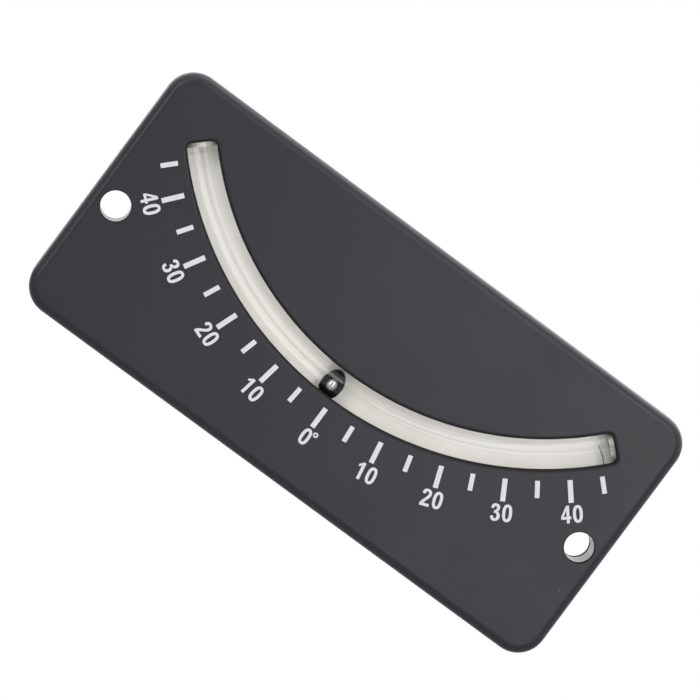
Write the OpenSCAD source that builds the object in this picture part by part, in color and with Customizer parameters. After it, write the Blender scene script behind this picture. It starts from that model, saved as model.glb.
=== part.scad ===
// Ball-in-tube inclinometer. A curved, liquid-filled glass tube lies behind an arc window in a
// flat two-hole housing. A steel ball rolls to the lowest point of the tube, and its place is
// read against marks every five degrees.
//
// Frame: the back of the instrument lies in Y = 0, the dial looks towards -Y and Z is up.
// The origin is midway between the two mounting holes, on the back face. All sizes are in mm.

/* [Housing] */
// Overall width of the housing
body_w = 102; // [100:0.5:120]
// Overall height of the housing
body_h = 46.2; // [45:0.1:60]
// Depth of the housing from its back to its face
body_t = 9; // [8.6:0.1:14]
// Radius of the four corners, seen from the front
corner_r = 5; // [3.5:0.1:8]
// Radius that rounds the front edge
edge_r = 1.5; // [0.5:0.1:2.5]
// Radius that breaks the sharp edges at the back
back_edge_r = 0.3; // [0.1:0.05:0.6]
// Thickness of the moulded face
face_t = 1.7; // [1.5:0.1:2.2]
// Thickness of the side walls
wall_t = 2; // [1.8:0.1:3]
// Thickness of the lip that stands round the back cover
lip_t = 1.1; // [0.8:0.1:1.5]

/* [Mounting holes] */
// Distance from each end of the housing to the axis of its mounting hole
hole_inset = 4.5; // [4:0.1:7]
// Diameter of the mounting holes
hole_d = 5; // [3:0.1:6]
// How far the row of holes lies below the middle of the housing
hole_drop = 2.4; // [0:0.1:4]
// Outside diameter of the boss round each mounting hole
hole_boss_d = 8.6; // [7:0.1:10]

/* [Window] */
// Width of the arc window
window_w = 4.9; // [4:0.1:5.4]
// Angle from the ball's last reading to the end of the window
window_end_angle = 2.8; // [1:0.1:3.5]
// Radius of the window's four corners
window_corner_r = 0.9; // [0.4:0.1:1.5]
// Radius that rounds the window's rim
window_edge_r = 0.6; // [0.2:0.1:0.9]

/* [Glass tube] */
// Room left between the inside of the side walls and the middle of the tube's ends
tube_end_room = 6.1; // [5.5:0.1:9]
// How far the lowest point of the tube's middle line lies below the row of mounting holes
tube_drop = 2; // [0:0.1:4]
// Outside diameter of the tube
tube_od = 6; // [5.6:0.1:6.4]
// Thickness of the glass
tube_wall = 0.6; // [0.5:0.05:0.8]
// Angle from the ball's last reading to the end of the tube
tube_end_angle = 5; // [4:0.1:6]
// Radius that the flame leaves on the rim of the tube's ends
tube_rim_r = 0.25; // [0.15:0.05:0.25]

/* [Ball] */
// Diameter of the ball
ball_d = 3.8; // [2:0.1:3.8]
// Running gap between the ball and the lowest line of the bore
ball_gap = 0.05; // [0.05:0.05:0.15]
// Largest reading that the ball can reach on either side
ball_travel = 45; // [30:1:46]
// Reading at which the ball is drawn, negative to the left
ball_reading = -1.3; // [-40:0.1:40]

/* [Tube ends] */
// Gap left between the ball and a plug at the end of its travel
stop_gap = 0.1; // [0.05:0.05:0.3]
// Diameter of the plug's head outside the tube
plug_head_d = 5.5; // [5.2:0.1:5.6]
// Thickness of the plug's head
plug_head_t = 0.8; // [0.5:0.1:1.2]

/* [Cradle and saddles] */
// Thickness of the cradle's walls beside the tube
cradle_wall = 0.6; // [0.4:0.05:1]
// Angle from the ball's last reading to the end of the white cradle
cradle_end_angle = 1; // [0.5:0.1:2]
// Gap between the cradle's end and the rubber saddle beside it
saddle_gap = 0.05; // [0.05:0.05:0.4]
// How far the saddles reach past the tube's middle
saddle_grip = 1.2; // [0.5:0.1:1.5]
// Thickness of the walls of the channel in which the cradle lies
channel_wall = 1.2; // [0.8:0.1:1.5]

/* [Stiffening ribs] */
// Thickness of the ribs behind the face
rib_t = 1; // [0.6:0.1:1.5]
// Height of the ribs above the face's inner side
rib_h = 3.2; // [1:0.1:4]
// Angle between the ribs that fan out below the channel
rib_step = 15; // [10:1:25]
// Number of ribs on each side of the middle, below the channel
ribs_below = 2; // [0:1:3]
// Distance between the upright ribs above the channel
rib_pitch = 17; // [14:0.5:24]
// Number of ribs on each side of the middle, above the channel
ribs_above = 2; // [0:1:2]

/* [Back cover] */
// Thickness of the cover
cover_t = 1.6; // [1.3:0.1:2]

/* [Cover screws] */
// Distance from the inside of the side walls to the axis of a screw
screw_offset = 2.4; // [2.2:0.1:2.6]
// Diameter of the screw's shank
screw_d = 2; // [1.6:0.1:2.2]
// Overall length of the screw
screw_len = 5.5; // [4:0.1:6]
// Diameter of the flat countersunk head
screw_head_d = 3.8; // [3:0.1:4]
// Height of the straight rim on the screw's head
screw_rim_t = 0.2; // [0.1:0.05:0.4]
// Length of the screw's point
screw_point = 1; // [0.5:0.1:1.5]
// Outside diameter of the boss that takes a screw
screw_boss_d = 5.4; // [5.3:0.1:6]
// Length of each arm of the cross recess in the head
cross_len = 2.2; // [1.4:0.1:2.6]
// Width of the cross recess's arms
cross_w = 0.5; // [0.3:0.05:0.7]
// Depth of the cross recess
cross_depth = 0.7; // [0.4:0.05:1]

/* [Scale] */
// Angle between neighbouring marks
mark_step = 5; // [5:5:15]
// Reading of the last mark on each side
mark_limit = 45; // [30:5:45]
// Distance from the window to the inner end of the marks
mark_gap = 1.75; // [1.2:0.05:3]
// Length of the marks at the tens
long_mark = 3.7; // [3:0.1:5]
// Length of the marks between the tens
short_mark = 2.8; // [2:0.1:4]
// Width of the marks at the tens
long_mark_w = 0.83; // [0.4:0.01:1.2]
// Width of the marks between the tens
short_mark_w = 0.77; // [0.4:0.01:1.2]
// Thickness of the printed ink
ink_t = 0.1; // [0.05:0.01:0.2]

/* [Clearances] */
// Play between moulded parts that drop into each other
play = 0.15; // [0.05:0.05:0.25]
// Gap of a snug fit, such as the tube in its cradle
snug = 0.05; // [0.02:0.01:0.08]

/* [Hidden] */
$fn = 96;

// How far a cut runs past the face that it opens
past = 1;
// How far one solid is sunk into the one that it grows from
root = 0.4;
sides = [-1, 1];

// Places across the face are counted from the hole row's middle, and depths from the back
mid_y = hole_drop;
ceiling_z = body_t - face_t;
boss_z = cover_t;
floor_z = cover_t + play;

// The ball's travel sets where the window, the cradle and the tube end
window_half_angle = ball_travel + window_end_angle;
cradle_half_angle = ball_travel + cradle_end_angle;
tube_half_angle = ball_travel + tube_end_angle;

// The housing's width and the angle of the tube's ends give the arc that the tube is bent to
tube_arc_r = (body_w / 2 - wall_t - tube_end_room) / sin(tube_half_angle);
arc_rise = tube_arc_r - tube_drop;

// The tube lies in a groove behind the face, against the inner edges of the window
bore_r = tube_od / 2 - tube_wall;
nest_r = tube_od / 2 + snug;
window_half = window_w / 2;
tube_z = ceiling_z - sqrt(nest_r * nest_r - window_half * window_half);

// The ball rolls on the outer wall of the bore, which is its lowest line
ball_r = ball_d / 2;
ball_arc_r = tube_arc_r + bore_r - ball_r - ball_gap;

// The cradle drops into a channel moulded behind the face
cradle_half = nest_r + cradle_wall;
channel_half = cradle_half + play;
channel_outer = channel_half + channel_wall;

// Angle that a length spans along the tube
function span(length) = length * 180 / (PI * tube_arc_r);

corner_angle = window_half_angle - span(window_corner_r);
glass_angle = tube_half_angle - span(tube_rim_r);
plug_angle = ball_travel + span(ball_r + stop_gap);
saddle_angle = cradle_half_angle + span(saddle_gap);
head_angle = tube_half_angle + span(snug);
stop_angle = head_angle + span(plug_head_t + play);
channel_angle = stop_angle + span(channel_wall);

// Screws stand in the corners and at the middle of the long sides
screw_x = body_w / 2 - wall_t - screw_offset;
screw_y = body_h / 2 - wall_t - screw_offset;
screw_places = [for (x = [-screw_x, 0, screw_x], y = [-screw_y, screw_y]) [x, mid_y + y]];
hole_places = [for (s = sides) [s * (body_w / 2 - hole_inset), 0]];
screw_r = screw_d / 2;
head_r = screw_head_d / 2;

mark_start_r = tube_arc_r + window_half + mark_gap;

// Stands the model up: it is drawn lying on its back, with X to the right and Y up the face
module upright() rotate([90, 0, 0]) children();

module both_sides() {
    children();
    mirror([1, 0, 0]) children();
}

module at_places(places, z) for (place = places) translate([place.x, place.y, z]) children();

// Turns a shape drawn straight below the arc centre to an angle along the scale
module at_angle(angle) translate([0, arc_rise, 0]) rotate([0, 0, angle]) children();

// Sweeps a profile, drawn as radius and depth, along the arc from one angle to another
module sweep(from, to)
    translate([0, arc_rise, 0]) rotate([0, 0, from - 90]) rotate_extrude(angle = to - from) children();

// Rectangle with round corners, parallel to the housing's outline and inside it by an inset
module outline(inset) {
    w = body_w - 2 * inset;
    h = body_h - 2 * inset;
    r = corner_r - inset;
    translate([0, mid_y]) {
        square([w - 2 * r, h], center = true);
        square([w, h - 2 * r], center = true);
        for (sx = sides, sy = sides) translate([sx * (w / 2 - r), sy * (h / 2 - r)]) circle(r);
    }
}

module slab(inset, low, high) translate([0, 0, low]) linear_extrude(high - low) outline(inset);

// Cross-section of a plate with rounded edges, w wide and t thick
module edge_profile(w, t, front_r, back_r) {
    translate([-w / 2, back_r]) square([w, t - front_r - back_r]);
    translate([-w / 2 + front_r, t / 2]) square([w - 2 * front_r, t / 2]);
    translate([-w / 2 + back_r, 0]) square([w - 2 * back_r, t / 2]);
    for (s = sides) {
        translate([s * (w / 2 - front_r), t - front_r]) circle(front_r);
        translate([s * (w / 2 - back_r), back_r]) circle(back_r);
    }
}

// Plate with rounded edges: two crossed bars, and a turned disc in each corner
module soft_plate(inset, t, front_r, back_r) {
    w = body_w - 2 * inset;
    h = body_h - 2 * inset;
    r = corner_r - inset;
    translate([0, mid_y, 0]) {
        rotate([90, 0, 0]) linear_extrude(h - 2 * r, center = true) edge_profile(w, t, front_r, back_r);
        rotate([90, 0, 90]) linear_extrude(w - 2 * r, center = true) edge_profile(h, t, front_r, back_r);
        for (sx = sides, sy = sides) translate([sx * (w / 2 - r), sy * (h / 2 - r), 0])
            rotate_extrude() intersection() {
                edge_profile(2 * r, t, front_r, back_r);
                square([r, t]);
            }
    }
}

// Strip that rounds a rim over: the wall is at x = 0, and the face at y = 0
module rim_strip(r) difference() {
    translate([-root, -r]) square([r + root, r + past]);
    translate([r, -r]) circle(r);
}

// Tool that cuts the arc window and rounds its rim
module window_cut() {
    depth = face_t + past;
    straight = 2 * (window_half - window_corner_r);
    sweep(-corner_angle, corner_angle) translate([tube_arc_r, body_t]) {
        translate([-window_half, -depth]) square([window_w, depth + past]);
        translate([window_half, 0]) rim_strip(window_edge_r);
        mirror([1, 0]) translate([window_half, 0]) rim_strip(window_edge_r);
    }
    both_sides() at_angle(corner_angle) translate([0, -tube_arc_r, body_t]) {
        rotate([90, 0, 0]) linear_extrude(straight, center = true) {
            translate([-root, -depth]) square([window_corner_r + root, depth + past]);
            translate([window_corner_r, 0]) rim_strip(window_edge_r);
        }
        for (s = sides) translate([0, s * straight / 2, 0]) rotate_extrude() {
            translate([0, -depth]) square([window_corner_r, depth + past]);
            translate([window_corner_r, 0]) rim_strip(window_edge_r);
        }
    }
}

// Ribs that fan out below the channel, and upright ribs above it
module ribs() {
    length = body_w + body_h;
    height = rib_h + root;
    low = ceiling_z - rib_h;
    for (i = [-ribs_below:ribs_below]) at_angle(i * rib_step)
        translate([-rib_t / 2, -tube_arc_r - channel_half - length, low]) cube([rib_t, length, height]);
    intersection() {
        for (i = [-ribs_above:ribs_above]) translate([i * rib_pitch - rib_t / 2, 0, low])
            cube([rib_t, length, height]);
        translate([0, arc_rise, low]) cylinder(r = tube_arc_r - channel_half, h = height);
    }
}

// Walls of the tube channel, as a solid arc that is hollowed afterwards
module channel_block()
    sweep(-channel_angle, channel_angle) translate([tube_arc_r - channel_outer, floor_z])
        square([2 * channel_outer, ceiling_z + root - floor_z]);

module channel_hollow()
    sweep(-stop_angle, stop_angle) {
        translate([tube_arc_r - channel_half, -past]) square([2 * channel_half, ceiling_z + past]);
        translate([tube_arc_r, tube_z]) circle(nest_r);
    }

// Pillars from the face to the cover
module bosses(places, d)
    at_places(places, boss_z) cylinder(d = d, h = ceiling_z + root - boss_z);

module front_housing() color([0.27, 0.27, 0.29]) upright() difference() {
    union() {
        difference() {
            soft_plate(0, body_t, edge_r, back_edge_r);
            slab(lip_t, -past, cover_t);
            slab(wall_t, -past, ceiling_z);
        }
        intersection() {
            slab(wall_t - root, boss_z, ceiling_z + root);
            union() {
                ribs();
                channel_block();
                bosses(hole_places, hole_boss_d);
                bosses(screw_places, screw_boss_d);
            }
        }
    }
    channel_hollow();
    window_cut();
    at_places(hole_places, -past) cylinder(d = hole_d, h = body_t + 2 * past);
    at_places(screw_places, 0) cylinder(r = screw_r + snug, h = screw_len + play);
}

// Outline of a countersunk screw from its head to its point, as a profile to turn
module screw_profile(gap) {
    cone_z = screw_rim_t + head_r - screw_r;
    polygon([
        [0, 0], [head_r + gap, 0], [head_r + gap, screw_rim_t], [screw_r + gap, cone_z],
        [screw_r + gap, screw_len - screw_point], [0, screw_len]
    ]);
}

module rear_cover() color([0.2, 0.2, 0.22]) upright() difference() {
    soft_plate(lip_t + play, cover_t, back_edge_r, back_edge_r);
    at_places(hole_places, -past) cylinder(d = hole_d, h = cover_t + 2 * past);
    at_places(screw_places, 0) rotate_extrude() {
        screw_profile(snug);
        translate([0, -past]) square([head_r + snug, past]);
    }
}

module cover_screws() color([0.62, 0.62, 0.64]) upright() at_places(screw_places, 0) difference() {
    rotate_extrude() screw_profile(0);
    for (turn = [0, 90]) rotate([0, 0, turn]) translate([-cross_len / 2, -cross_w / 2, -past])
        cube([cross_len, cross_w, cross_depth + past]);
}

// Trough with a round groove for the tube, open towards the face, up to a given depth
module trough(from, to, top) sweep(from, to) difference() {
    translate([tube_arc_r - cradle_half, floor_z]) square([2 * cradle_half, top - floor_z]);
    translate([tube_arc_r, tube_z]) circle(nest_r);
}

module tube_cradle() color([0.93, 0.92, 0.9]) upright()
    trough(-cradle_half_angle, cradle_half_angle, tube_z);

// The rubber saddles reach past the tube's middle, so that the tube snaps into them
module right_tube_saddle() color([0.66, 0.64, 0.6]) upright()
    trough(saddle_angle, tube_half_angle, tube_z + saddle_grip);

module left_tube_saddle() mirror([1, 0, 0]) right_tube_saddle();

// Flame-polished end of the tube: a short ring with a rounded rim, and its root in the glass
module tube_rim() at_angle(glass_angle) translate([0, -tube_arc_r, tube_z]) rotate([0, 90, 0])
    rotate_extrude() {
        middle = tube_wall - 2 * tube_rim_r;
        translate([bore_r + tube_rim_r, -root]) square([middle, root + tube_rim_r]);
        intersection() {
            translate([bore_r, 0]) square([tube_wall, tube_rim_r]);
            for (r = [bore_r + tube_rim_r, tube_od / 2 - tube_rim_r]) translate([r, 0]) circle(tube_rim_r);
        }
    }

module glass_tube() color([0.8, 0.86, 0.86, 0.4]) upright() {
    sweep(-glass_angle, glass_angle) translate([tube_arc_r, tube_z]) difference() {
        circle(d = tube_od);
        circle(bore_r);
    }
    both_sides() tube_rim();
}

// Stopper of the tube: a stem pressed into the bore, and a head against the tube's end
module right_end_plug() color([0.7, 0.68, 0.63]) upright() {
    sweep(plug_angle, head_angle + span(plug_head_t / 2)) translate([tube_arc_r, tube_z])
        circle(bore_r - snug);
    at_angle(head_angle) translate([0, -tube_arc_r, tube_z]) rotate([0, 90, 0])
        cylinder(d = plug_head_d, h = plug_head_t);
}

module left_end_plug() mirror([1, 0, 0]) right_end_plug();

module indicator_ball() color([0.12, 0.12, 0.12]) upright()
    at_angle(ball_reading) translate([0, -ball_arc_r, tube_z]) sphere(d = ball_d);

module scale_marks() color([0.96, 0.95, 0.97]) upright()
    for (reading = [-mark_limit:mark_step:mark_limit]) {
        tens = reading % (2 * mark_step) == 0;
        length = tens ? long_mark : short_mark;
        w = tens ? long_mark_w : short_mark_w;
        at_angle(reading) translate([-w / 2, -mark_start_r - length, body_t]) cube([w, length, ink_t]);
    }

front_housing();
rear_cover();
tube_cradle();
left_tube_saddle();
right_tube_saddle();
glass_tube();
left_end_plug();
right_end_plug();
indicator_ball();
cover_screws();
scale_marks();
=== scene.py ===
# %% [markdown]
# # A ball inclinometer, lesson by lesson
#
# This notebook dresses a slope meter: a steel ball in a bent glass tube, behind an arc window in a
# black moulded housing. The solid parts were drawn in a CAD program and are already exact, so they
# stay. What is left for Blender is what CAD does badly: printed numerals, a clear liquid, and the
# finish of every surface.
#
# The first cell loads the CAD parts. They come in at their real size, in metres, and they are never
# moved.

# %% Load the fixed parts
import math

import bmesh
import bpy
import numpy as np
from mathutils import Matrix, Vector


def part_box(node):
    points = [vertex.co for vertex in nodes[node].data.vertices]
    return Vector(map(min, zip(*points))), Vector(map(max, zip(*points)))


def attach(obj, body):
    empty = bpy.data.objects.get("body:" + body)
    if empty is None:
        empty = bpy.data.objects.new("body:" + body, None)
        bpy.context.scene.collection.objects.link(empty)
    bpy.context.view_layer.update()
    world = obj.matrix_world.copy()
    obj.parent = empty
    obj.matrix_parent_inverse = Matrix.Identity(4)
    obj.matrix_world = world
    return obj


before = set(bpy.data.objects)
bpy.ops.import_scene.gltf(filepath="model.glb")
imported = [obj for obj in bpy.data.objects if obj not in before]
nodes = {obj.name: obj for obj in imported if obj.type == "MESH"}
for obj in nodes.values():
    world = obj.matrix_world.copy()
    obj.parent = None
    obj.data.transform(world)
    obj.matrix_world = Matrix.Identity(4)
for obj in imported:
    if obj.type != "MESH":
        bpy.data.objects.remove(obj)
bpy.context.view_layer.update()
print("parts:", ", ".join(sorted(nodes)))

# %% [markdown]
# ## Sizes that the lesson works with
#
# Drawings of such a meter are in millimetres, so we write millimetres and turn them to metres in one
# place. The tube, the window and the scale are all arcs about one centre, high above the dial.
# Nearly everything below is placed by a radius and an angle from that centre.

# %% Millimetres and the arc
MM = 0.001

FACE_Y = -9.0 * MM  # the flat front of the housing
INK_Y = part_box("scale_marks")[0].y  # the front of the printed marks
ARC_Z = 54.0 * MM  # the centre of all arcs
TUBE_R = 56.0 * MM  # the tube's centre line
TUBE_Y = -5.483 * MM

print(f"ink stands {(FACE_Y - INK_Y) / MM:.2f} mm proud of the face")


# %% [markdown]
# ## The camera
#
# The photograph was taken from about three quarters of a metre with a long lens, a little to the left
# and above, and the picture was turned until the dial ran downhill. A long lens keeps the plate's
# edges nearly parallel. We give the camera a place, a view direction and the direction that ends up
# downwards in the picture. Building the rotation from these three directions avoids guessing angles.

# %% Camera
EYE = Vector((-66.12, -740.45, 31.91)) * MM
LOOK = Vector((0.08658, 0.99551, -0.03838))
PICTURE_DOWN = Vector((0.59113, -0.08234, -0.80236))
FOCAL_PX = 4570.6
PICTURE_PX = 700

camera = bpy.data.objects.new("camera", bpy.data.cameras.new("camera"))
bpy.context.scene.collection.objects.link(camera)
bpy.context.scene.camera = camera
camera.data.sensor_width = 36
camera.data.lens = FOCAL_PX / PICTURE_PX * camera.data.sensor_width
camera.data.clip_start = 0.05
camera.data.clip_end = 20
picture_right = PICTURE_DOWN.cross(LOOK).normalized()
picture_up = LOOK.cross(-picture_right).normalized()
turn = Matrix((picture_right, picture_up, -LOOK)).transposed()
camera.matrix_world = Matrix.Translation(EYE) @ turn.to_4x4()
print(f"lens {camera.data.lens:.0f} mm, right {tuple(round(c, 3) for c in picture_right)}")


# %% [markdown]
# ## Colours and nodes
#
# A colour on a screen is stored in sRGB, and light is added up in linear values. We pick colours as
# sRGB hex, as a paint shop would, and one function turns them to linear. A second small function adds
# any shader node with its settings and its links, so that each material below reads as a short recipe.
#
# Blender's Mix node has one set of sockets for each kind of value, so we call them by number: the
# share of the second value, then two plain numbers, and further down two colours.


# %% Helpers for materials
SHARE, NUMBER_A, NUMBER_B, COLOUR_A, COLOUR_B = 0, 2, 3, 6, 7
MIXED_NUMBER, MIXED_COLOUR = 0, 2


def linear(hex_colour):
    """sRGB hex to linear RGBA. Each channel c is c / 12.92 when dark, else
    ((c + 0.055) / 1.055) ^ 2.4."""
    c = np.array([int(hex_colour[i : i + 2], 16) for i in (1, 3, 5)]) / 255
    lin = np.where(c <= 0.04045, c / 12.92, ((c + 0.055) / 1.055) ** 2.4)
    return (*lin.tolist(), 1.0)


def add(tree, kind, inputs=(), **settings):
    """Adds a node. inputs are its sockets, as a list in their order or a dict by name or number: a
    socket as a value is linked, anything else is set. settings are the node's own properties."""
    node = tree.nodes.new(kind)
    for name, value in settings.items():
        setattr(node, name, value)
    for key, value in inputs.items() if isinstance(inputs, dict) else enumerate(inputs):
        if isinstance(value, bpy.types.NodeSocket):
            tree.links.new(value, node.inputs[key])
        else:
            node.inputs[key].default_value = value
    return node


def new_material(name):
    """An empty node material, and its node tree."""
    mat = bpy.data.materials.new(name)
    mat.use_nodes = True
    mat.node_tree.nodes.clear()
    return mat, mat.node_tree


WHITE = linear("#FFFFFF")
print("ink in linear light:", [round(v, 3) for v in linear("#D5D4D8")[:3]])


# %% [markdown]
# ## Where on the object a point lies
#
# Several finishes change from place to place: at the holes, along the window, across the tube. Those
# places are found by geometry, in the object's own coordinates, so a pattern stays on its piece when
# the piece or the camera moves. Three measures do all of it: the coordinates, the distance from the
# tube's arc, and the distance from a mounting hole.


# %% Measures made of nodes
HOLE_X = 46.5 * MM
HOLE_R = 2.5 * MM


def coordinates(t):
    """The shaded point in the object's coordinates, as a vector and as x, y and z."""
    point = add(t, "ShaderNodeTexCoord").outputs["Object"]
    return point, *add(t, "ShaderNodeSeparateXYZ", [point]).outputs


def off_the_arc(t, x, z):
    """How far a point lies outside the tube's arc: its distance from the arc's centre less the arc's
    radius. Also its drop below that centre, which gives its angle."""
    down = add(t, "ShaderNodeMath", [ARC_Z, z], operation="SUBTRACT").outputs[0]
    arm = add(t, "ShaderNodeCombineXYZ", [x, 0.0, down]).outputs[0]
    arm = add(t, "ShaderNodeVectorMath", [arm], operation="LENGTH").outputs["Value"]
    return add(t, "ShaderNodeMath", [arm, TUBE_R], operation="SUBTRACT").outputs[0], down


def off_the_hole(t, x, z):
    """The distance from the axis of the nearer mounting hole: the length of (|x| - its x, z)."""
    side = add(t, "ShaderNodeMath", [x], operation="ABSOLUTE").outputs[0]
    side = add(t, "ShaderNodeMath", [side, HOLE_X], operation="SUBTRACT").outputs[0]
    side = add(t, "ShaderNodeCombineXYZ", [side, 0.0, z]).outputs[0]
    return add(t, "ShaderNodeVectorMath", [side], operation="LENGTH").outputs["Value"]


print(f"holes of {2 * HOLE_R / MM:.1f} mm, {2 * HOLE_X / MM:.0f} mm apart")


# %% [markdown]
# ## The dark rim of the window
#
# In the photograph the rim of the window is nearly black, because it looks into the dark slot beside
# the tube. Here that shade is painted on: the rim gets a darker colour than the face, though the real
# plastic is probably the same all over. The window is a rectangle with round corners, bent along the
# arc. The distance from such a shape has a neat recipe: measure how far the point lies beyond the
# centre of the nearest corner, across the window and along it, count nothing where it doesn't reach
# that far, and take off the corner's radius.


# %% Window rim
CORNER_R = 0.9 * MM
WINDOW_HALF_WIDTH = 2.45 * MM
WINDOW_HALF_LENGTH = TUBE_R * math.radians(47.8)
# the third number cancels the unused direction, and only has to be positive
CORNER = (WINDOW_HALF_WIDTH - CORNER_R, WINDOW_HALF_LENGTH - CORNER_R, 1.0)
RIM_DEPTH = 3.0 * MM


def window_rim(t, x, y, z):
    """1 on the window's rim, fading to 0 from 0.15 to 0.6 mm outside it, on the front only. The
    distance is the length of (what is beyond the corner's centre, across and along) - its radius."""
    across, down = off_the_arc(t, x, z)
    angle = add(t, "ShaderNodeMath", [x, down], operation="ARCTAN2").outputs[0]
    along = add(t, "ShaderNodeMath", [angle, TUBE_R], operation="MULTIPLY").outputs[0]
    place = add(t, "ShaderNodeCombineXYZ", [across, along, 0.0]).outputs[0]
    place = add(t, "ShaderNodeVectorMath", [place], operation="ABSOLUTE").outputs[0]
    place = add(t, "ShaderNodeVectorMath", [place, CORNER], operation="SUBTRACT").outputs[0]
    place = add(t, "ShaderNodeVectorMath", [place, (0, 0, 0)], operation="MAXIMUM").outputs[0]
    place = add(t, "ShaderNodeVectorMath", [place], operation="LENGTH").outputs["Value"]
    rim = [place, CORNER_R + 0.15 * MM, CORNER_R + 0.6 * MM, 1.0, 0.0]
    rim = add(t, "ShaderNodeMapRange", rim).outputs[0]
    front = add(t, "ShaderNodeMath", [y, FACE_Y + RIM_DEPTH], operation="LESS_THAN").outputs[0]
    return add(t, "ShaderNodeMath", [rim, front], operation="MULTIPLY").outputs[0]


print(f"window of {2 * WINDOW_HALF_WIDTH / MM:.1f} by {2 * WINDOW_HALF_LENGTH / MM:.1f} mm")


# %% [markdown]
# ## Dust
#
# A few specks of dust lie on the face, as on any dark plastic. A Voronoi texture cuts space into
# cells, here 5.5 mm wide. Each cell gets a tiny disc at its heart, and the cell's own random colour
# says how large the disc is, so that most of them are too small to see.


# %% Dust
DUST_CELL = 5.5 * MM
LARGEST_SPECK = 0.022  # in cells
DUST_STRENGTH = 0.5


def dust(t, point):
    """1 in a speck and 0 beside it: the distance from the cell's heart is less than random * size."""
    cells = add(t, "ShaderNodeTexVoronoi", {"Vector": point, "Scale": 1 / DUST_CELL})
    seed = add(t, "ShaderNodeSeparateColor", [cells.outputs["Color"]]).outputs[0]
    size = add(t, "ShaderNodeMath", [seed, LARGEST_SPECK], operation="MULTIPLY").outputs[0]
    near = [cells.outputs["Distance"], size]
    return add(t, "ShaderNodeMath", near, operation="LESS_THAN").outputs[0]


print(f"specks up to {2 * LARGEST_SPECK * DUST_CELL / MM:.2f} mm across")


# %% [markdown]
# ## The housing: moulded black ABS with a fine spark texture
#
# The face is a satin near-black with a cool cast. The mould was spark-eroded, which leaves pits about
# a tenth of a millimetre apart, and these spread the reflection of the room over the face as a soft
# grey. Pits that small don't show one by one, so they are drawn a little coarser, as a shallow bump.
# A slow cloud in the roughness keeps large areas from looking painted.
#
# Three places differ. The walls of the mounting holes are drawn smoother than the face, as polished
# pins would leave them: at the flat angle at which they're seen they mirror the white ground. The
# front edge of each hole gets painted shade: it is drawn matte and nearly black, like the rim of the
# window. The front edge of each hole is nearly black in the photograph, so it is drawn matte and
# dark, like the rim of the window. Whether the real edge is worn isn't known.


# %% Moulded black plastic
WALL_R = HOLE_R + 0.02 * MM
HOLE_EDGE_SHADE_R, HOLE_EDGE_SHADE_DEPTH = HOLE_R + 0.16 * MM, 1.0 * MM
CLOUD = 14 * MM


def moulded_plastic(name, colour, dust_colour, roughness, grain_mm, grain_depth_mm, hole_roughness):
    """Spark-textured thermoplastic, with dust on it and smooth hole walls, and with painted shade: the
    window's rim and the front edges of the holes are drawn near black. The roughness runs from 0.03
    below its value to 0.03 above it."""
    mat, t = new_material(name)
    point, x, y, z = coordinates(t)

    hole = off_the_hole(t, x, z)
    in_hole = add(t, "ShaderNodeMath", [hole, WALL_R], operation="LESS_THAN").outputs[0]
    not_hole = add(t, "ShaderNodeMath", [1.0, in_hole], operation="SUBTRACT").outputs[0]
    # painted shade: within 0.16 mm of each hole and 1 mm of the face the edge is drawn near black
    hole_edge_shade = add(t, "ShaderNodeMath", [hole, HOLE_EDGE_SHADE_R], operation="LESS_THAN").outputs[0]
    front = add(t, "ShaderNodeMath", [y, FACE_Y + HOLE_EDGE_SHADE_DEPTH], operation="LESS_THAN").outputs[0]
    hole_edge_shade = add(t, "ShaderNodeMath", [hole_edge_shade, front], operation="MULTIPLY").outputs[0]
    dark = [window_rim(t, x, y, z), hole_edge_shade]
    dark = add(t, "ShaderNodeMath", dark, operation="MAXIMUM").outputs[0]

    speck = add(t, "ShaderNodeMath", [dust(t, point), not_hole], operation="MULTIPLY").outputs[0]
    speck = add(t, "ShaderNodeMath", [speck, DUST_STRENGTH], operation="MULTIPLY").outputs[0]
    base = {SHARE: speck, COLOUR_A: linear(colour), COLOUR_B: linear(dust_colour)}
    base = add(t, "ShaderNodeMix", base, data_type="RGBA").outputs[MIXED_COLOUR]
    # painted shade: the window's rim and the front edges of the holes get a near-black colour
    base = {SHARE: dark, COLOUR_A: base, COLOUR_B: linear("#060607")}
    base = add(t, "ShaderNodeMix", base, data_type="RGBA").outputs[MIXED_COLOUR]

    cloud = {"Vector": point, "Scale": 1 / CLOUD, "Detail": 3.0}
    cloud = add(t, "ShaderNodeTexNoise", cloud).outputs[0]
    rough = [cloud, 0.3, 0.7, roughness - 0.03, roughness + 0.03]
    rough = add(t, "ShaderNodeMapRange", rough).outputs[0]
    rough = {SHARE: in_hole, NUMBER_A: rough, NUMBER_B: hole_roughness}
    rough = add(t, "ShaderNodeMix", rough).outputs[MIXED_NUMBER]
    rough = {SHARE: dark, NUMBER_A: rough, NUMBER_B: 0.8}
    rough = add(t, "ShaderNodeMix", rough).outputs[MIXED_NUMBER]

    grain = {"Vector": point, "Scale": 1 / (grain_mm * MM), "Detail": 2.0}
    grain = add(t, "ShaderNodeTexNoise", grain).outputs[0]
    bump = {"Strength": not_hole, "Distance": grain_depth_mm * MM, "Height": grain}
    bump = add(t, "ShaderNodeBump", bump).outputs[0]
    sockets = {"Base Color": base, "Roughness": rough, "Normal": bump, "IOR": 1.47}
    plastic = add(t, "ShaderNodeBsdfPrincipled", sockets)
    add(t, "ShaderNodeOutputMaterial", [plastic.outputs[0]])
    return mat


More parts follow.
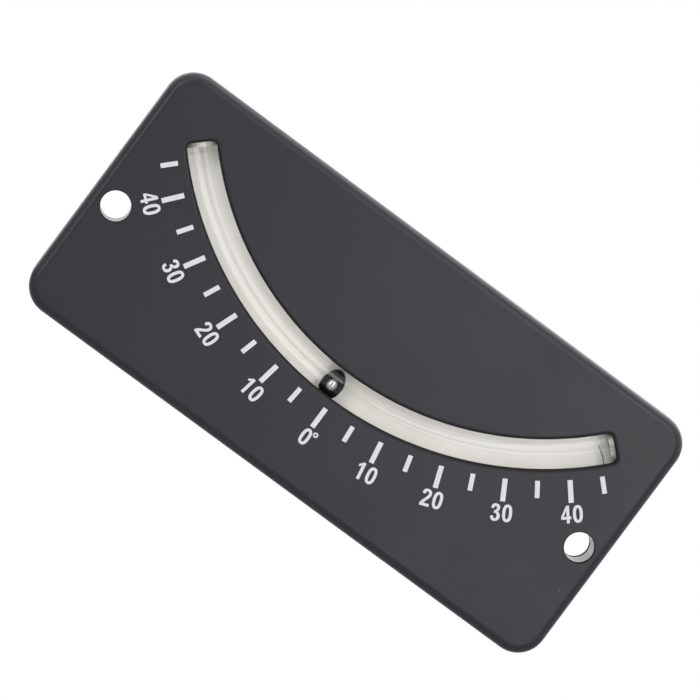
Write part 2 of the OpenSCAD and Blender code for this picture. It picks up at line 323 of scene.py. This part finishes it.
housing_plastic = moulded_plastic(
    "black ABS, moulded, spark texture",
    colour="#17161F",
    dust_colour="#8E8E92",
    roughness=0.35,
    grain_mm=0.32,
    grain_depth_mm=0.008,
    hole_roughness=0.18,
)
cover_plastic = moulded_plastic(
    "black ABS, moulded, coarse texture",
    colour="#1A1A1D",
    dust_colour="#77777A",
    roughness=0.55,
    grain_mm=0.5,
    grain_depth_mm=0.02,
    hole_roughness=1.0,
)
print("made", housing_plastic.name, "and", cover_plastic.name)


# %% [markdown]
# ## A hair crack
#
# Near the right end of the window the photograph shows a fine dark line, on the outer half only. It
# may be a crack, a hair or a scratch. Here it is a hair crack in the cradle, drawn as a thin band
# about a slanting line: the angle at which the line runs grows with the distance across the arc.


# %% Hair crack
CRACK_ANGLE = math.radians(45.5)
CRACK_SLOPE = 8.0  # radians per metre across
CRACK_CORE, CRACK_EDGE = math.radians(0.04), math.radians(0.1)


def hair_crack(t, across, angle, strength):
    """The strength in the line and 0 beside it. The line is at CRACK_ANGLE + CRACK_SLOPE * across, and
    the share fades in over the first 0.35 mm outside the arc."""
    line = [across, CRACK_SLOPE, CRACK_ANGLE]
    line = add(t, "ShaderNodeMath", line, operation="MULTIPLY_ADD").outputs[0]
    off = add(t, "ShaderNodeMath", [angle, line], operation="SUBTRACT").outputs[0]
    off = add(t, "ShaderNodeMath", [off], operation="ABSOLUTE").outputs[0]
    band = [off, CRACK_CORE, CRACK_EDGE, strength, 0.0]
    band = add(t, "ShaderNodeMapRange", band).outputs[0]
    outside = add(t, "ShaderNodeMapRange", [across, 0.0, 0.35 * MM]).outputs[0]
    return add(t, "ShaderNodeMath", [band, outside], operation="MULTIPLY").outputs[0]


print(f"crack at {math.degrees(CRACK_ANGLE):.1f} degrees")


# %% [markdown]
# ## The cradle, the saddles and the plugs
#
# Behind the clear tube lies a white cradle of high-impact polystyrene. It is matte and slightly warm,
# and it is what makes the window look like paper. The tube's ends rest in pale silicone saddles and
# are closed by rubber plugs, which look grey because they lie in the shade of the window's ends.
#
# These tones were matched to the photograph through the glass and aren't those of real samples, and
# much of them is painted light and shade. The cradle, the saddles and the left plug are nearly pure
# white, lighter than any real plastic or rubber: painted light for the light that is lost behind the
# tube. The flanks of the groove have a tone of their own, painted to even out the light across it,
# the middle of the arc is a little darker with painted shade, and the right saddle is lighter and the
# right plug darker than the left ones, as painted light and shade. Under other light that may show.


# %% White styrene and pale rubbers
SIDES = -20 * MM, 20 * MM
FLANK_LIGHT_SPAN = 0.2 * MM, 0.75 * MM
MIDDLE_SHADE_SPAN = 0.1, 0.55  # radians from the lowest point of the arc


def matte_polymer(name, left, right, flank, roughness, cloud_mm, grain_mm, grain_depth_mm, crack=0.0):
    """A matte plastic or rubber. Its tone runs from left to right and to the flanks of the groove,
    then it is multiplied by the tones of slow clouds and of the arc's middle, and a fine grain breaks
    it up.
    The clouds vary at random; the flank tone, the darker middle of the arc and the left-to-right tone
    of the saddles and plugs are painted light and shade. crack is the strength of the hair crack."""
    mat, t = new_material(name)
    point, x, _, z = coordinates(t)
    across, down = off_the_arc(t, x, z)
    angle = add(t, "ShaderNodeMath", [x, down], operation="ARCTAN2").outputs[0]

    # painted light and shade: the tone runs from left to right, and the flanks of the groove get a
    # tone of their own
    side = add(t, "ShaderNodeMapRange", [x, *SIDES]).outputs[0]
    tone = {SHARE: side, COLOUR_A: linear(left), COLOUR_B: linear(right)}
    tone = add(t, "ShaderNodeMix", tone, data_type="RGBA").outputs[MIXED_COLOUR]
    out = add(t, "ShaderNodeMath", [across], operation="ABSOLUTE").outputs[0]
    out = add(t, "ShaderNodeMapRange", [out, *FLANK_LIGHT_SPAN]).outputs[0]
    tone = {SHARE: out, COLOUR_A: tone, COLOUR_B: linear(flank)}
    tone = add(t, "ShaderNodeMix", tone, data_type="RGBA").outputs[MIXED_COLOUR]

    cloud = {"Vector": point, "Scale": 1 / (cloud_mm * MM), "Detail": 3.0}
    cloud = add(t, "ShaderNodeTexNoise", cloud).outputs[0]
    cloud = add(t, "ShaderNodeMapRange", [cloud, 0.35, 0.65]).outputs[0]
    # painted shade: the middle of the arc is multiplied by a slightly darker tone
    middle = add(t, "ShaderNodeMath", [angle], operation="ABSOLUTE").outputs[0]
    middle = add(t, "ShaderNodeMapRange", [middle, *MIDDLE_SHADE_SPAN, 1.0, 0.0]).outputs[0]
    for share, shade in ((cloud, "#FBFBFB"), (middle, "#F3F3F0")):
        tone = {SHARE: share, COLOUR_A: tone, COLOUR_B: linear(shade)}
        tone = add(t, "ShaderNodeMix", tone, data_type="RGBA", blend_type="MULTIPLY")
        tone = tone.outputs[MIXED_COLOUR]

    if crack:
        line = hair_crack(t, across, angle, crack)
        tone = {SHARE: line, COLOUR_A: tone, COLOUR_B: linear("#1C1712")}
        tone = add(t, "ShaderNodeMix", tone, data_type="RGBA").outputs[MIXED_COLOUR]

    grain = {"Vector": point, "Scale": 1 / (grain_mm * MM), "Detail": 2.0}
    grain = add(t, "ShaderNodeTexNoise", grain).outputs[0]
    bump = {"Distance": grain_depth_mm * MM, "Height": grain}
    bump = add(t, "ShaderNodeBump", bump).outputs[0]
    sockets = {"Base Color": tone, "Roughness": roughness, "Normal": bump}
    body = add(t, "ShaderNodeBsdfPrincipled", sockets)
    add(t, "ShaderNodeOutputMaterial", [body.outputs[0]])
    return mat


# the near-white tones are partly the styrene's own colour and partly painted light
cradle_styrene = matte_polymer(
    "white polystyrene, moulded, matte",
    left="#FFFBF5",
    right="#FFFCF8",
    flank="#FFFCF6",
    roughness=0.6,
    cloud_mm=9,
    grain_mm=0.4,
    grain_depth_mm=0.004,
    crack=1.0,
)
# painted light: the right saddle is drawn lighter than the left
saddle_silicone = matte_polymer(
    "pale silicone rubber, moulded",
    left="#F8F5F1",
    right="#FFFDFA",
    flank="#FFFDFA",
    roughness=0.7,
    cloud_mm=3,
    grain_mm=0.3,
    grain_depth_mm=0.006,
)
plug_rubber = matte_polymer(
    "pale rubber, turned",
    left="#FAF7F3",
    # painted shade: the right plug is drawn darker, for the shade of the window's right end
    right="#A9A59F",
    flank="#D8D4CE",
    roughness=0.65,
    cloud_mm=3,
    grain_mm=0.25,
    grain_depth_mm=0.006,
)
print("made", cradle_styrene.name, saddle_silicone.name, plug_rubber.name, sep="; ")


# %% [markdown]
# ## Glass and liquid
#
# The tube is drawn borosilicate glass, filled with a clear damping oil. Glass and oil bend light by
# nearly the same amount, so the inner wall of a filled tube can't be seen: light only bends where it
# enters and leaves the glass. That makes the tube a rod lens, which is why the ball looks so wide
# across the tube. We copy that: the outer skin of the tube refracts, and the wall of the bore is
# see-through, which fills the bore with oil without a mesh for it.
#
# The two skins are told apart by their distance from the tube's bent centre line. A lamp's shadow ray
# may not bend, so for those rays the glass is see-through too, with a small loss.


# %% Borosilicate glass tube
BETWEEN_SKINS = 2.7 * MM  # the bore has a radius of 2.4 mm and the glass one of 3 mm


def tube_glass():
    """Rod-lens glass. The distance from the bent centre line is the length of (distance from the arc
    centre - arc radius, depth - depth of the line)."""
    mat, t = new_material("borosilicate glass, drawn and bent")
    _, x, y, z = coordinates(t)
    across, _ = off_the_arc(t, x, z)
    deep = add(t, "ShaderNodeMath", [y, TUBE_Y], operation="SUBTRACT").outputs[0]
    away = add(t, "ShaderNodeCombineXYZ", [across, deep, 0.0]).outputs[0]
    away = add(t, "ShaderNodeVectorMath", [away], operation="LENGTH").outputs["Value"]
    outer = add(t, "ShaderNodeMath", [away, BETWEEN_SKINS], operation="GREATER_THAN").outputs[0]

    sockets = {"Base Color": WHITE, "Roughness": 0.0, "IOR": 1.45, "Transmission Weight": 1.0}
    glass = add(t, "ShaderNodeBsdfPrincipled", sockets)
    clear = add(t, "ShaderNodeBsdfTransparent", [linear("#FEFEFE")])
    bore = add(t, "ShaderNodeBsdfTransparent", [WHITE])
    lamp_ray = add(t, "ShaderNodeLightPath").outputs["Is Shadow Ray"]
    skin = add(t, "ShaderNodeMixShader", [lamp_ray, glass.outputs[0], clear.outputs[0]])
    both = add(t, "ShaderNodeMixShader", [outer, bore.outputs[0], skin.outputs[0]])
    add(t, "ShaderNodeOutputMaterial", [both.outputs[0]])
    return mat


glass = tube_glass()
print("made", glass.name)


# %% [markdown]
# ## The ball and the screws
#
# The ball is a hardened bearing ball with a black oxide skin. The oxide is not a metal: it reflects
# as little as glass does. In the photograph the ball is black round its border and mirrors two lamps,
# and some of the table below them, only in its middle. So a painted reflection is put in a soft spot
# on the ball's front: there the skin is drawn as bright bare steel, which mirrors the lamps.
#
# That spot is a trick for the photograph's look, and a real ball has none. Its centre is the point of
# the ball that faces the photograph's camera, moved by 0.23 mm to match. It is a fixed offset, so the
# spot stays on the ball and follows no camera, and from other sides it is seen as a grey patch.
#
# The cover's screws are zinc-plated steel all over, with a faint grain from the plating bath.


# %% Metals
def plated_steel(name, colour, second_colour, roughness, grain_mm, grain_depth_mm, spot=None):
    """Plated steel: two close tones in small clouds, and a roughness from 0.8 to 1.2 times its value.
    It is a metal all over, unless it has a spot: then the skin is an oxide, and a painted reflection,
    metal of the spot's colour, fills the first radius from the spot's centre and fades out to the
    second."""
    mat, t = new_material(name)
    point = add(t, "ShaderNodeTexCoord").outputs["Object"]
    grain = {"Vector": point, "Scale": 1 / (grain_mm * MM), "Detail": 3.0}
    grain = add(t, "ShaderNodeTexNoise", grain).outputs[0]
    share = add(t, "ShaderNodeMapRange", [grain, 0.35, 0.65]).outputs[0]
    skin = {SHARE: share, COLOUR_A: linear(colour), COLOUR_B: linear(second_colour)}
    skin = add(t, "ShaderNodeMix", skin, data_type="RGBA").outputs[MIXED_COLOUR]
    metallic = 1.0
    if spot:
        centre, inner, outer, reflection_colour = spot
        away = add(t, "ShaderNodeVectorMath", [point, centre], operation="DISTANCE")
        reflection_spot = [away.outputs["Value"], inner, outer, 1.0, 0.0]
        metallic = add(t, "ShaderNodeMapRange", reflection_spot, interpolation_type="SMOOTHSTEP").outputs[0]
        skin = {SHARE: metallic, COLOUR_A: skin, COLOUR_B: linear(reflection_colour)}
        skin = add(t, "ShaderNodeMix", skin, data_type="RGBA").outputs[MIXED_COLOUR]

    rough = [grain, 0.3, 0.7, roughness * 0.8, roughness * 1.2]
    rough = add(t, "ShaderNodeMapRange", rough).outputs[0]
    bump = {"Distance": grain_depth_mm * MM, "Height": grain}
    bump = add(t, "ShaderNodeBump", bump).outputs[0]
    sockets = {"Base Color": skin, "Metallic": metallic, "Roughness": rough, "Normal": bump}
    steel = add(t, "ShaderNodeBsdfPrincipled", sockets)
    add(t, "ShaderNodeOutputMaterial", [steel.outputs[0]])
    return mat


# from the ball's middle to the point that faces the photograph's camera, (-0.17, -1.89, 0.09), and
# then (0.06, 0, -0.22) further
SPOT_OFFSET = Vector((-0.11, -1.89, -0.13)) * MM

ball_low, ball_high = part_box("indicator_ball")
ball_centre = (Vector(ball_low) + Vector(ball_high)) / 2
ball_front = ball_centre + SPOT_OFFSET
ball_steel = plated_steel(
    "bearing steel, black oxide, polished",
    colour="#161719",
    second_colour="#131416",
    roughness=0.03,
    grain_mm=0.5,
    grain_depth_mm=0.0002,
    # painted reflection: a spot of bright metal on the ball's front, which mirrors the lamps
    spot=(ball_front, 0.45 * MM, 1.0 * MM, "#B9B8B5"),
)
screw_steel = plated_steel(
    "steel, bright zinc plated",
    colour="#B9BBC0",
    second_colour="#A9ABB2",
    roughness=0.28,
    grain_mm=0.35,
    grain_depth_mm=0.004,
)
print("ball at", [round(c / MM, 2) for c in ball_centre], "mm")


# %% [markdown]
# ## Pad-printed ink
#
# The scale is printed with a white two-component ink. The pad leaves a film a little thicker in its
# middle than at its edge, and slightly uneven, which the eye reads as soft, not quite pure white.


# %% White printing ink
FILM_CLOUD = 0.45 * MM
FILM_DEPTH = 0.004 * MM


def printing_ink():
    """Matte white ink: two close whites in small clouds, and the same clouds as a shallow bump."""
    mat, t = new_material("white epoxy ink, pad printed")
    point = add(t, "ShaderNodeTexCoord").outputs["Object"]
    film = {"Vector": point, "Scale": 1 / FILM_CLOUD, "Detail": 2.0}
    film = add(t, "ShaderNodeTexNoise", film).outputs[0]
    share = add(t, "ShaderNodeMapRange", [film, 0.3, 0.7]).outputs[0]
    tone = {SHARE: share, COLOUR_A: linear("#D5D4D8"), COLOUR_B: linear("#CDCCD0")}
    tone = add(t, "ShaderNodeMix", tone, data_type="RGBA").outputs[MIXED_COLOUR]
    bump = add(t, "ShaderNodeBump", {"Distance": FILM_DEPTH, "Height": film}).outputs[0]
    sockets = {"Base Color": tone, "Roughness": 0.5, "Normal": bump}
    body = add(t, "ShaderNodeBsdfPrincipled", sockets)
    add(t, "ShaderNodeOutputMaterial", [body.outputs[0]])
    return mat


ink = printing_ink()
print("made", ink.name)


# %% [markdown]
# ## Dressing the CAD parts
#
# Each CAD part keeps its mesh and only gets a material in its slot.

# %% Give each CAD part its material
FINISHES = {
    "front_housing": housing_plastic,
    "rear_cover": cover_plastic,
    "tube_cradle": cradle_styrene,
    "left_tube_saddle": saddle_silicone,
    "right_tube_saddle": saddle_silicone,
    "glass_tube": glass,
    "left_end_plug": plug_rubber,
    "right_end_plug": plug_rubber,
    "indicator_ball": ball_steel,
    "cover_screws": screw_steel,
    "scale_marks": ink,
}
for name, mat in FINISHES.items():
    nodes[name].data.materials.clear()
    nodes[name].data.materials.append(mat)
print(len(FINISHES), "parts dressed")


# %% [markdown]
# ## Numerals
#
# The marks are CAD solids, and the numerals are ours. A stroke of a printed digit is best drawn by
# its two edges, so each stroke here is the sheet between two edge curves: a point at share v across
# it is (1 - v) * first edge + v * second edge. The edges are smooth curves through a few points, and
# the sheet is then given the ink's thickness. The strokes of one digit meet edge to edge and never
# overlap, because two sheets of ink in one plane would flicker in the render.


# %% Edges and strokes
SAMPLES = 96


def through(points, count):
    """A smooth curve through points, sampled at count places. Between two points it is the
    Catmull-Rom cubic: 0.5 * (2 b + (c - a) t + (2 a - 5 b + 4 c - d) t² + (3 b - a - 3 c + d) t³)."""
    p = np.asarray(points, float)
    p = np.vstack([2 * p[0] - p[1], p, 2 * p[-1] - p[-2]])
    spans = len(p) - 3
    s = np.linspace(0, spans, count)
    k = np.minimum(s.astype(int), spans - 1)
    t = (s - k)[:, None]
    a, b, c, d = p[k], p[k + 1], p[k + 2], p[k + 3]
    square, cube = 2 * a - 5 * b + 4 * c - d, 3 * b - a - 3 * c + d
    return 0.5 * (2 * b + (c - a) * t + square * t**2 + cube * t**3)


def oval(width, height, power, count=SAMPLES):
    """A super-ellipse: x = w/2 * sgn(cos a) |cos a|^(2/power), y the same with h and sin a."""
    a = np.linspace(0, 2 * np.pi, count)
    c, s = np.cos(a), np.sin(a)
    x = width / 2 * np.sign(c) * np.abs(c) ** (2 / power)
    y = height / 2 * np.sign(s) * np.abs(s) ** (2 / power)
    return np.stack([x, y], axis=1)


def bent(first, second, count=SAMPLES):
    """A bent stroke: one smooth curve through the points of each of its two edges."""
    return through(first, count), through(second, count)


def block(a, b, c, d):
    """A straight stroke: its first edge runs from a to b and its second from c to d."""
    return np.array([a, b], float), np.array([c, d], float)


print("a quarter of an oval:", oval(1, 2, 2, 5)[:2].round(2).tolist())


# %% [markdown]
# The five digits that the scale needs are narrow and bold, 2.86 mm tall and 1.6 mm wide. They are
# written in units of the digit's height, with the left foot at (0, 0). A zero and the degree ring are
# the band between two ovals. The other digits are built of bent strokes and blocks.

# %% Digit shapes
DIGIT_H = 2.86
STROKE = 0.175
WIDE = 0.56

MIDDLE_OF_DIGIT = np.array([WIDE / 2, 0.5])
ZERO = [
    (
        MIDDLE_OF_DIGIT + oval(WIDE, 1.0, 2.45),
        MIDDLE_OF_DIGIT + oval(WIDE - 2 * STROKE, 1.0 - 1.75 * STROKE, 2.3),
    )
]
DEGREE_RING = [(oval(0.305, 0.305, 2, SAMPLES // 2), oval(0.135, 0.135, 2, SAMPLES // 2))]
ONE = [
    block((0.235, 0), (0.235, 1), (0.415, 0), (0.415, 1)),
    bent(
        [(0.235, 1.0), (0.19, 0.92), (0.06, 0.84)],
        [(0.235, 0.80), (0.17, 0.745), (0.06, 0.70)],
        SAMPLES // 4,
    ),
]
FOUR = [
    block((0.31, 0), (0.31, 1), (0.475, 0), (0.475, 1)),
    block((0.0, 0.225), (0.31, 0.225), (0.0, 0.375), (0.31, 0.375)),
    block((0.475, 0.225), (0.57, 0.225), (0.475, 0.375), (0.57, 0.375)),
    block((0.0, 0.375), (0.31, 1.0), (0.135, 0.375), (0.31, 0.745)),
]
print("a one has", len(ONE), "strokes and a four has", len(FOUR))

# %% [markdown]
# The two and the three are the rounded ones. The three's bowls meet in the tip of a small wedge.

# %% Two and three
TWO = [
    bent(
        [(0.02, 0.70), (0.05, 0.86), (0.14, 0.965), (0.28, 1.0), (0.43, 0.96), (0.53, 0.85)]
        + [(0.55, 0.71), (0.50, 0.56), (0.40, 0.42), (0.28, 0.27), (0.215, 0.165)],
        [(0.19, 0.68), (0.205, 0.78), (0.235, 0.835), (0.285, 0.85), (0.345, 0.825), (0.375, 0.765)]
        + [(0.375, 0.70), (0.335, 0.60), (0.23, 0.45), (0.09, 0.29), (0.015, 0.165)],
    ),
    block((0.0, 0.165), (0.55, 0.165), (0.0, 0), (0.55, 0)),
]
THREE = [
    bent(
        [(0.02, 0.74), (0.07, 0.90), (0.17, 0.98), (0.28, 1.0), (0.42, 0.965), (0.515, 0.86)]
        + [(0.515, 0.70), (0.455, 0.585), (0.40, 0.54)],
        [(0.185, 0.715), (0.205, 0.80), (0.235, 0.84), (0.275, 0.85), (0.325, 0.835), (0.35, 0.775)]
        + [(0.34, 0.685), (0.285, 0.62), (0.20, 0.60)],
    ),
    block((0.20, 0.60), (0.40, 0.54), (0.20, 0.455), (0.40, 0.54)),
    bent(
        [(0.40, 0.54), (0.485, 0.485), (0.55, 0.37), (0.55, 0.22), (0.47, 0.07), (0.30, 0.0)]
        + [(0.14, 0.03), (0.045, 0.13), (0.01, 0.27)],
        [(0.20, 0.455), (0.29, 0.45), (0.355, 0.395), (0.375, 0.29), (0.345, 0.19), (0.285, 0.15)]
        + [(0.225, 0.165), (0.19, 0.22), (0.175, 0.30)],
    ),
]
DIGITS = {"0": ZERO, "1": ONE, "2": TWO, "3": THREE, "4": FOUR}
print("strokes per digit:", {d: len(s) for d, s in DIGITS.items()})


# %% [markdown]
# A stroke becomes a small closed solid: the sheet at the ink's top, the same sheet on the face, and
# walls round its border. All of it is index arithmetic on whole arrays: corner (i, j) of a grid has
# the number i * columns + j, and the walls join the border loop of the top to that of the bottom.


# %% Ink solids
def ink_solid(first, second):
    """Vertices and faces of the ink between two edges of n points each. The top is at INK_Y and the
    bottom on the face. Border loop: along the first edge, then back along the second."""
    n = len(first)
    flat = np.vstack([first, second])
    top = np.column_stack([flat[:, 0], np.full(2 * n, INK_Y), flat[:, 1]])
    bottom = top.copy()
    bottom[:, 1] = FACE_Y
    i = np.arange(n - 1)
    quads = np.column_stack([i, i + 1, n + i + 1, n + i])
    loop = np.concatenate([np.arange(n), np.arange(2 * n - 1, n - 1, -1)])
    following = np.roll(loop, -1)
    walls = np.column_stack([loop, loop + 2 * n, following + 2 * n, following])
    return np.vstack([top, bottom]), np.vstack([quads, quads[:, ::-1] + 2 * n, walls])


def placed(edge, x_mm, foot_mm, angle):
    """A stroke's edge, in digit heights, set x_mm to the right of the radial line at an angle and
    with its foot foot_mm from the arc centre, then turned so that its top looks at the centre."""
    p = edge * DIGIT_H * MM + np.array([x_mm * MM, -foot_mm * MM])
    c, s = math.cos(angle), math.sin(angle)
    return p @ np.array([[c, s], [-s, c]]) + np.array([0, ARC_Z])


stem = ink_solid(*ONE[0])
print("the stem of a one:", len(stem[0]), "corners and", len(stem[1]), "faces")


# %% [markdown]
# The numbers stand at every tenth degree, each turned to the centre of the arc and centred on its
# mark. The degree ring stands beside the zero. All the ink goes into one mesh, because one pad prints
# it in one stroke.


# %% The printed numbers
FOOT_R = 67.2
PITCH = 1.93  # from one digit to the next
RING_X, RING_R = 1.24, 64.63


def mesh_object(name, vertices, faces, material):
    """A mesh object at the origin from arrays, with its doubles merged and its normals outwards."""
    work = bmesh.new()
    mesh = bpy.data.meshes.new(name)
    mesh.from_pydata(vertices.tolist(), [], faces.tolist())
    work.from_mesh(mesh)
    bmesh.ops.remove_doubles(work, verts=work.verts, dist=1e-7)
    bmesh.ops.recalc_face_normals(work, faces=work.faces)
    work.to_mesh(mesh)
    work.free()
    mesh.materials.append(material)
    obj = bpy.data.objects.new(name, mesh)
    bpy.context.scene.collection.objects.link(obj)
    return obj


placings = []
for reading in range(-40, 41, 10):
    text = str(abs(reading))
    width = (len(text) - 1) * PITCH + WIDE * DIGIT_H
    for place, digit in enumerate(text):
        x_mm = -width / 2 + place * PITCH
        placings.append((DIGITS[digit], x_mm, FOOT_R, math.radians(reading)))
placings.append((DEGREE_RING, RING_X, RING_R, 0.0))

vertices, faces, count = [], [], 0
for strokes, *where in placings:
    for first, second in strokes:
        v, f = ink_solid(placed(first, *where), placed(second, *where))
        vertices.append(v)
        faces.append(f + count)
        count += len(v)
numerals = mesh_object("scale_numerals", np.vstack(vertices), np.vstack(faces), ink)
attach(numerals, "housing")
print("numerals:", len(numerals.data.vertices), "vertices")


# %% [markdown]
# ## Floor and backdrop
#
# The object stands free in front of white paper. The floor is pale card, well below the object, so
# that the long edge of the plate isn't lost in its own shadow. In a studio the background has its own
# lights, until it is pure white. Here the paper and the sky simply are white to the camera, and under
# the lamps they stay ordinary card.


# %% Stage
def sheet(name, size, centre, turn_x, material):
    """A flat square sheet: corners at +-size/2, tilted about X and moved to its place."""
    half = size / 2
    corners = np.array([[-half, -half, 0], [half, -half, 0], [half, half, 0], [-half, half, 0]])
    c, s = math.cos(turn_x), math.sin(turn_x)
    turned = corners @ np.array([[1, 0, 0], [0, c, s], [0, -s, c]]) + np.array(centre)
    mesh = bpy.data.meshes.new(name)
    mesh.from_pydata(turned.tolist(), [], [(0, 1, 2, 3)])
    mesh.materials.append(material)
    obj = bpy.data.objects.new(name, mesh)
    bpy.context.scene.collection.objects.link(obj)
    return obj


def paper(name, colour, seen):
    """White card: plain diffuse under the lamps, and seen as white by the kinds of ray in seen."""
    mat, t = new_material(name)
    card = add(t, "ShaderNodeBsdfDiffuse", [linear(colour)])
    glow = add(t, "ShaderNodeEmission", [WHITE, 1.0])
    rays = add(t, "ShaderNodeLightPath").outputs
    share = rays[seen[0]]
    for kind in seen[1:]:
        share = add(t, "ShaderNodeMath", [share, rays[kind]], operation="MAXIMUM").outputs[0]
    both = add(t, "ShaderNodeMixShader", [share, card.outputs[0], glow.outputs[0]])
    add(t, "ShaderNodeOutputMaterial", [both.outputs[0]])
    return mat


floor_card = paper("pale card floor", "#ACACAC", ["Is Camera Ray"])
floor = sheet("floor", 8.0, (0, 0, -0.25), 0.0, floor_card)
white_seen = ["Is Camera Ray", "Is Glossy Ray", "Is Transmission Ray"]
white_paper = paper("white paper backdrop", "#F0F0F0", white_seen)
backdrop = sheet("backdrop", 4.0, (0, 1.6, 0.6), math.pi / 2, white_paper)
print("stage:", floor.name, backdrop.name)


# %% [markdown]
# ## The room
#
# The room adds plain grey light. It is dark straight in front of the dial, where the photograph's
# camera stands, and gets brighter towards the sides, behind the object and towards the ceiling. The
# black ball mirrors that dark corner as the gap between its two bright dashes. The level is read off
# the direction in which a ray leaves, in the world and not from a camera: its second number is -1
# straight in front of the dial, and its third is the height.

# %% Room
world = bpy.data.worlds.new("studio")
bpy.context.scene.world = world
world.use_nodes = True
wt = world.node_tree
wt.nodes.clear()
direction = add(wt, "ShaderNodeTexCoord").outputs["Generated"]
_, depth, height = add(wt, "ShaderNodeSeparateXYZ", [direction]).outputs
level = add(wt, "ShaderNodeMapRange", [depth, -0.99, -0.93, 0.25, 0.76]).outputs[0]
sides = add(wt, "ShaderNodeMapRange", [depth, -0.93, -0.3, 0.0, 0.32]).outputs[0]
ceiling = add(wt, "ShaderNodeMapRange", [height, 0.15, 0.6, 0.0, 0.3]).outputs[0]
for more in (sides, ceiling):
    level = add(wt, "ShaderNodeMath", [level, more], operation="ADD").outputs[0]
room = add(wt, "ShaderNodeBackground", [WHITE, level])
white = add(wt, "ShaderNodeBackground", [WHITE, 1.0])
seen = add(wt, "ShaderNodeLightPath").outputs["Is Camera Ray"]
both = add(wt, "ShaderNodeMixShader", [seen, room.outputs[0], white.outputs[0]])
add(wt, "ShaderNodeOutputWorld", [both.outputs[0]])
print("world:", world.name, "with", len(wt.nodes), "nodes")


# %% [markdown]
# ## The lamps
#
# The black ball is a mirror of the studio, and it shows two upright lamps, one on each side of the
# camera. So we set up the same two strip softboxes. They make the two bright dashes on the ball and
# soft pale lines along the tube, brighten the face towards them, and give most of the light on the
# scale. A wide softbox overhead gives the top edge of the housing its soft grey, and one at the back
# lights the cover.

# %% Lamps
LAMPS = {  # place and target in metres, width, height, watts
    "right strip": ((0.32, -1.44, 0.42), (0, 0, 0.42), 0.36, 1.1, 4.5),
    "left strip": ((-0.90, -1.20, 0.25), (0, 0, 0.25), 0.36, 0.9, 3.5),
    "top softbox": ((0.0, 0.2, 1.5), (0, 0.2, 0), 1.6, 1.2, 8),
    "back softbox": ((0.6, 1.2, 1.0), (0, 0, 0), 1.0, 1.0, 9),
}
for name, (place, target, width, height, watts) in LAMPS.items():
    data = bpy.data.lights.new(name, "AREA")
    data.shape = "RECTANGLE"
    data.size, data.size_y = width, height
    data.energy = watts
    lamp = bpy.data.objects.new(name, data)
    bpy.context.scene.collection.objects.link(lamp)
    lamp.location = place
    lamp.rotation_mode = "QUATERNION"
    lamp.rotation_quaternion = (Vector(target) - Vector(place)).to_track_quat("-Z", "Y")
print("lamps:", ", ".join(LAMPS))

# %% [markdown]
# ## Colour
#
# The Standard view shows a colour as it is written.

# %% Finish
bpy.context.scene.view_settings.view_transform = "Standard"
